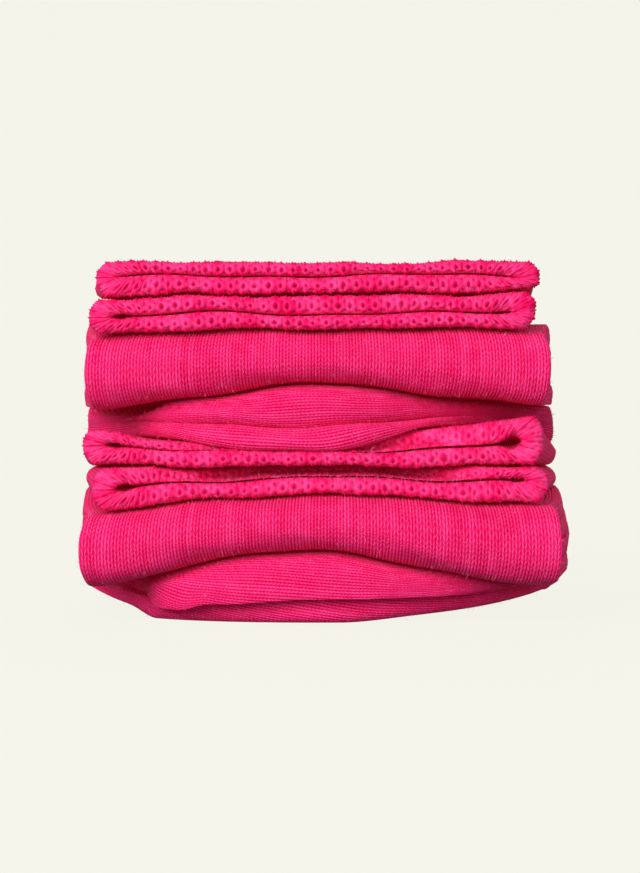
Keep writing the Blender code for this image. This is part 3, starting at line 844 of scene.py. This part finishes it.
def foot_points(bundle, name, low, height, fine_bottom):
    """A foot's points, each column's place along the foot's edge, and each point's own height."""
    top = name.endswith("top_foot")
    x, y, along = toe_outline(bundle, name, FOOT_COLUMNS)
    x, y = smoothed(x, EDGE_SMOOTHING), smoothed(y, EDGE_SMOOTHING)
    tangent = np.stack([np.gradient(x), np.gradient(y)])
    tangent /= np.linalg.norm(tangent, axis=0)
    inward = np.stack([-tangent[1], tangent[0]])
    spine_front = FEET[name][2] * MM + SPINE_STARTS
    spine = np.stack([np.full(FOOT_COLUMNS, x.mean()), np.maximum(y, spine_front)])
    inset, towards, up = foot_rows(name, height, fine_bottom)
    if bundle == "upper":
        groove = 1.0 - blend((np.abs(x - GROOVE_MIDDLE) - GROOVE_FULLY) / GROOVE_FADES)
        groove = GROOVE_LEFT_OVER + (1.0 - GROOVE_LEFT_OVER) * groove
        inset = np.where(up < 0.0 if top else up > 0.0, inset * groove, inset)
    inset = inset * (1.0 - LEAN_LOST_BEHIND * blend((y - LEAN_LOST_FROM) / LEAN_LOST_OVER))
    plan_x = x + inward[0] * inset
    plan_y = y + inward[1] * inset
    plan_x = plan_x + towards * (spine[0] - plan_x)
    plan_y = plan_y + towards * (spine[1] - plan_y)
    if name == "upper_top_foot":
        tapering = blend((END_TAPERS_FROM - plan_x) / END_TAPERS_OVER) * blend(-plan_y / (20.0 * MM))
        up = -height + (up + height) * (1.0 - END_TAPER * tapering)
    closing = FOOT_CLOSING if top else -FOOT_CLOSING
    rim = np.exp(-((towards / 0.05) ** 2)) * blend(-closing / FOOT_CLOSING * up / height)
    points = settle(plan_x, plan_y, low + height + up - closing * rim)
    if name in HANGS:
        at, reach, depth, starts = (v * MM for v in HANGS[name])
        hangs = np.exp(-(((plan_x - at) / reach) ** 4)) * blend(0.3 - up / height)
        points[..., 2] -= depth * hangs * blend((starts - plan_y) / (4.0 * MM))
    return points, along, up


def foot(bundle, name, low, looks, fine_bottom=False):
    height = (SOCK - SEAM / 2.0) / 2.0
    points, along, up = foot_points(bundle, name, low, height, fine_bottom)
    arc = run_length(points[:, FOOT_COLUMNS // 2])
    slant, lessening = WALE_SLANTS[name]
    from_middle = np.clip(along - along[-1] / 2.0, -SLANTS_WITHIN, SLANTS_WITHIN)[None]
    run_down = slant * from_middle - lessening / MM * from_middle**2 / 2.0
    wale = (arc[:, None] + run_down) / WALE
    course = (along[None] - (slant - lessening / MM * from_middle) * arc[:, None]) / COURSE
    finely = blend((0.5 * MM - np.gradient(arc)) / (0.2 * MM))[:, None]
    off_floor = blend((up / height + 1.0) / 0.3)
    relief = finely * off_floor * STITCH_DEPTH * (stitches(wale, course) - 0.6)
    skin = Skin(f"{name}_knit", name)
    skin.add(points, wale, course, relief, np.zeros(wale.shape), False, True)
    seed = 30 + list(FEET).index(name)
    fibres = skin.fuzz(FOOT_FIBRES, 0.7 * LONGEST_FIBRE, seed, (0.3, 0.9), looks[1])
    return skin.build(looks[0]), fibres


# ------------------------------------------------
# The knit's material.

# Colours of the knit's ramp by how high the yarn lies: painted shade for low yarn between the wales and in
# the pits, the knit's own pink between, and a painted highlight, a whitish sheen, for high yarn.
PAINTED_SHADE_PINK = (0.40, 0.0005, 0.026, 1.0)
PINK = (0.74, 0.0044, 0.098, 1.0)
LIT_PINK = (0.86, 0.069, 0.285, 1.0)
PALE_PINK = (1.0, 0.25, 0.50, 1.0)
PAINTED_RED_GLOW = (0.030, 0.0001, 0.002, 1.0)  # painted glow: a faint red emission on all the knit, standing in for light that comes through the cloth, so that its slits and crevices show dark red


def fill(node, values):
    """Sets inputs of a node by their names."""
    for label, value in values.items():
        node.inputs[label].default_value = value


class Graph:
    """Small helper for writing a material's nodes as sums."""

    def __init__(self, tree):
        self.tree = tree

    def node(self, kind, **settings):
        made = self.tree.nodes.new(kind)
        for key, value in settings.items():
            setattr(made, key, value)
        return made

    def link(self, source, socket):
        self.tree.links.new(source, socket)

    def math(self, operation, *values):
        made = self.node("ShaderNodeMath", operation=operation)
        for socket, value in zip(made.inputs, values):
            if isinstance(value, (int, float)):
                socket.default_value = value
            else:
                self.link(value, socket)
        return made.outputs[0]

    def noise(self, place, scale, detail):
        made = self.node("ShaderNodeTexNoise")
        fill(made, {"Scale": scale, "Detail": detail})
        self.link(place, made.inputs["Vector"])
        return made.outputs["Fac"]

    def split(self, vector):
        made = self.node("ShaderNodeSeparateXYZ")
        self.link(vector, made.inputs[0])
        return made.outputs

    def stored(self, layer):
        """The two numbers that a mesh keeps for each corner of its faces in a layer."""
        parts = self.split(self.node("ShaderNodeUVMap", uv_map=layer).outputs[0])
        return parts[0], parts[1]


def knit_height(g, wale, course):
    """How high the yarn lies, from 0 to 1: drawn from its counts, or as the mesh keeps it at a welt."""
    across = g.math("ABSOLUTE", g.math("SUBTRACT", g.math("FRACT", wale), 0.5))
    from_leg = g.math("DIVIDE", g.math("SUBTRACT", across, 0.25), 0.25)
    leg = g.math("SUBTRACT", 1.0, g.math("MULTIPLY", from_leg, from_leg))
    slanted = g.math("FRACT", g.math("ADD", course, g.math("MULTIPLY", across, 1.9)))
    slant = g.math("SINE", g.math("MULTIPLY", slanted, math.pi))
    courses = g.math("ADD", g.math("MULTIPLY", slant, SLANT_SHARE), 1.0 - SLANT_SHARE)
    welt, thread = g.stored("Welt")
    mixed = g.node("ShaderNodeMix", data_type="FLOAT")
    g.link(welt, mixed.inputs["Factor"])
    g.link(g.math("MULTIPLY", leg, courses), mixed.inputs["A"])
    g.link(thread, mixed.inputs["B"])
    return mixed.outputs["Result"]


def knit_tone(g, height, cloud, fibre, wale, course):
    """How light the yarn is drawn: painted highlight where it lies high and painted shade where it lies
    low, between the wales and in the pits, and uneven along and from wale to wale.
    """
    stretched = g.node("ShaderNodeCombineXYZ")
    g.link(g.math("MULTIPLY", wale, 0.8), stretched.inputs[0])
    g.link(g.math("MULTIPLY", course, 0.09), stretched.inputs[1])
    streak = g.noise(stretched.outputs[0], 1.0, 1.0)
    each_wale = g.node("ShaderNodeTexWhiteNoise", noise_dimensions="1D")
    g.link(g.math("FLOOR", wale), each_wale.inputs["W"])
    # painted shade and highlight: the lower the yarn lies, the darker it is drawn, and the higher, the
    # lighter
    tone = g.math("MULTIPLY", height, 0.74)
    for source, share in ((cloud, 0.34), (fibre, 0.42), (streak, 0.16), (each_wale.outputs["Value"], 0.12)):
        tone = g.math("ADD", tone, g.math("MULTIPLY", source, share))
    return g.math("SUBTRACT", tone, 0.345)


def knit_material():
    material = bpy.data.materials.new("pink_cotton_knit")
    material.use_nodes = True
    g = Graph(material.node_tree)
    shader = material.node_tree.nodes["Principled BSDF"]
    wale, course = g.stored("Knit")
    height = knit_height(g, wale, course)
    place = g.node("ShaderNodeTexCoord").outputs["Object"]
    fibre = g.noise(place, 4200.0, 2.0)
    cloud = g.noise(place, 320.0, 3.0)
    bump = g.node("ShaderNodeBump")
    fill(bump, {"Strength": 0.55, "Distance": 0.00022})
    g.link(g.math("ADD", height, g.math("MULTIPLY", fibre, 0.35)), bump.inputs["Height"])
    g.link(bump.outputs[0], shader.inputs["Normal"])
    # the ramp runs from painted shade over the knit's own pink to painted highlight
    colour = g.node("ShaderNodeValToRGB")
    stops = colour.color_ramp.elements
    stops[0].position, stops[0].color = 0.0, PAINTED_SHADE_PINK
    stops[1].position, stops[1].color = 1.0, LIT_PINK
    between = stops.new(0.5)
    between.color = PINK
    g.link(knit_tone(g, height, cloud, fibre, wale, course), colour.inputs["Fac"])
    g.link(colour.outputs["Color"], shader.inputs["Base Color"])
    sheen = {"Sheen Weight": 0.035, "Sheen Roughness": 0.30, "Sheen Tint": (1.0, 0.60, 0.75, 1.0)}
    # painted glow: the knit emits a faint red, which lightens its shadows
    painted_glow = {"Emission Color": PAINTED_RED_GLOW, "Emission Strength": 1.0}
    fill(shader, {"Roughness": 0.88, "Specular IOR Level": 0.02} | sheen | painted_glow)
    return material


def fibre_material():
    material = bpy.data.materials.new("loose_pink_fibres")
    material.use_nodes = True
    g = Graph(material.node_tree)
    shader = material.node_tree.nodes["Principled BSDF"]
    patch = g.noise(g.node("ShaderNodeTexCoord").outputs["Object"], 900.0, 2.0)
    colour = g.node("ShaderNodeMix", data_type="RGBA")
    fill(colour, {"A": PINK, "B": PALE_PINK})
    g.link(patch, colour.inputs["Factor"])
    g.link(colour.outputs["Result"], shader.inputs["Base Color"])
    fill(shader, {"Roughness": 0.8, "Specular IOR Level": 0.2})
    return material


# ------------------------------------------------
# The stack.


def tube_sheet(piece_and_fibres):
    piece, fibres = piece_and_fibres
    return piece


def dress(bundle, base, looks):
    cuffs = base + 3.0 * PASS
    fine_bottom = bundle == "lower"
    under_foot = foot(bundle, f"{bundle}_under_foot", base, looks, fine_bottom)
    top_foot = foot(bundle, f"{bundle}_top_foot", base + SOCK + SEAM / 2.0, looks)
    legs = folded_legs(bundle, base, looks)
    under_cuff = cuff(bundle, f"{bundle}_under_cuff", cuffs, looks)
    top_cuff = cuff(bundle, f"{bundle}_top_cuff", cuffs + SOCK + SEAM / 2.0, looks)
    under_foot = tube_sheet(under_foot)
    top_foot = tube_sheet(top_foot)
    legs = tube_sheet(legs)
    under_cuff = tube_sheet(under_cuff)
    return tube_sheet(top_cuff)


# ------------------------------------------------
# Floor, light and camera.

PALE = (0.03, 0.0298, 0.028, 1.0)
PALE_GLOW = (0.882, 0.875, 0.803, 1.0)
WORLD_BELOW = 0.14
WORLD_ABOVE = 0.11
KEY = 17.4
FRONT = 4.6
SIDE = 4.0
BEHIND = 6.0
VIEW_DISTANCE = 0.70
VIEW_TILT = math.radians(1.5)
PHOTO_WIDTH, PHOTO_HEIGHT = 640, 873
STACK_MIDDLE = 324  # the photograph's column of pixels at the middle of the stack
STACK_FOOT = 627  # and the row at the height of the floor, at the front of the stack
PIXEL = 0.191 * MM  # at the front of the stack
STACK_HEIGHT = 0.07


def studio():
    """A pale floor that curves up into a backdrop, mostly self-lit so that its tone is even."""
    floor_mesh = bpy.data.meshes.new("floor")
    reach, front, depth, wall, radius, steps = 3.0, -2.2, 1.6, 2.4, 0.9, 24
    profile = [(front, 0.0), (depth - radius, 0.0)]
    for k in range(1, steps + 1):
        a = math.pi / 2.0 * k / steps
        profile.append((depth - radius + radius * math.sin(a), radius * (1.0 - math.cos(a))))
    profile.append((depth, wall))
    points = [(x, y, z) for y, z in profile for x in (-reach, reach)]
    faces = [(2 * k, 2 * k + 1, 2 * k + 3, 2 * k + 2) for k in range(len(profile) - 1)]
    floor_mesh.from_pydata(points, [], faces)
    floor_mesh.shade_smooth()
    pale = bpy.data.materials.new("pale_paper")
    pale.use_nodes = True
    shader = pale.node_tree.nodes["Principled BSDF"]
    fill(shader, {"Base Color": PALE, "Roughness": 0.95, "Specular IOR Level": 0.0})
    fill(shader, {"Emission Color": PALE_GLOW, "Emission Strength": 1.0})
    floor_mesh.materials.append(pale)
    floor = bpy.data.objects.new("floor", floor_mesh)
    bpy.context.scene.collection.objects.link(floor)
    floor.visible_diffuse = False


def area_light(name, place, size, power):
    data = bpy.data.lights.new(name, "AREA")
    data.shape = "RECTANGLE"
    data.size, data.size_y = size
    data.energy = power
    lamp = bpy.data.objects.new(name, data)
    lamp.visible_camera = False
    lamp.location = place
    towards = Vector((0.0, 0.0, STACK_HEIGHT / 2.0)) - Vector(place)
    lamp.rotation_euler = towards.to_track_quat("-Z", "Y").to_euler()
    bpy.context.scene.collection.objects.link(lamp)


def lights():
    world = bpy.data.worlds.new("studio")
    world.use_nodes = True
    g = Graph(world.node_tree)
    background = world.node_tree.nodes["Background"]
    fill(background, {"Color": (1.0, 0.99, 0.96, 1.0)})
    direction = g.split(g.node("ShaderNodeTexCoord").outputs["Generated"])
    rise = g.node("ShaderNodeMapRange", interpolation_type="SMOOTHSTEP")
    fill(rise, {"From Min": -0.5, "From Max": 0.6, "To Min": WORLD_BELOW, "To Max": WORLD_ABOVE})
    g.link(direction[2], rise.inputs["Value"])
    g.link(rise.outputs[0], background.inputs["Strength"])
    bpy.context.scene.world = world
    area_light("key", (-0.40, -1.02, 0.50), (0.9, 0.7), KEY)
    area_light("front", (0.15, -1.30, 0.14), (0.8, 0.6), FRONT)
    area_light("left", (-1.0, 0.45, 0.45), (0.6, 0.6), SIDE)
    area_light("right", (1.0, 0.45, 0.45), (0.6, 0.6), SIDE)
    area_light("behind", (0.0, 1.1, 0.9), (0.8, 0.5), BEHIND)


def camera():
    data = bpy.data.cameras.new("camera")
    data.sensor_fit = "HORIZONTAL"
    data.sensor_width = 36.0
    front_distance = VIEW_DISTANCE - BACK
    data.lens = data.sensor_width * front_distance / (PHOTO_WIDTH * PIXEL)
    data.clip_start = 0.01
    eye = bpy.data.objects.new("camera", data)
    across = (PHOTO_WIDTH / 2.0 - STACK_MIDDLE) * PIXEL
    height = (STACK_FOOT - PHOTO_HEIGHT / 2.0) * PIXEL
    target = Vector((across, -BACK, height))
    away = Vector((0.0, -math.cos(VIEW_TILT), math.sin(VIEW_TILT)))
    eye.location = target + away * front_distance
    eye.rotation_euler = (-away).to_track_quat("-Z", "Y").to_euler()
    bpy.context.scene.collection.objects.link(eye)
    bpy.context.scene.camera = eye


looks = (knit_material(), fibre_material())
lower_top = dress("lower", 0.0, looks)
dress("upper", BUNDLE, looks)
studio()
lights()
camera()
bpy.context.scene.view_settings.view_transform = "Standard"
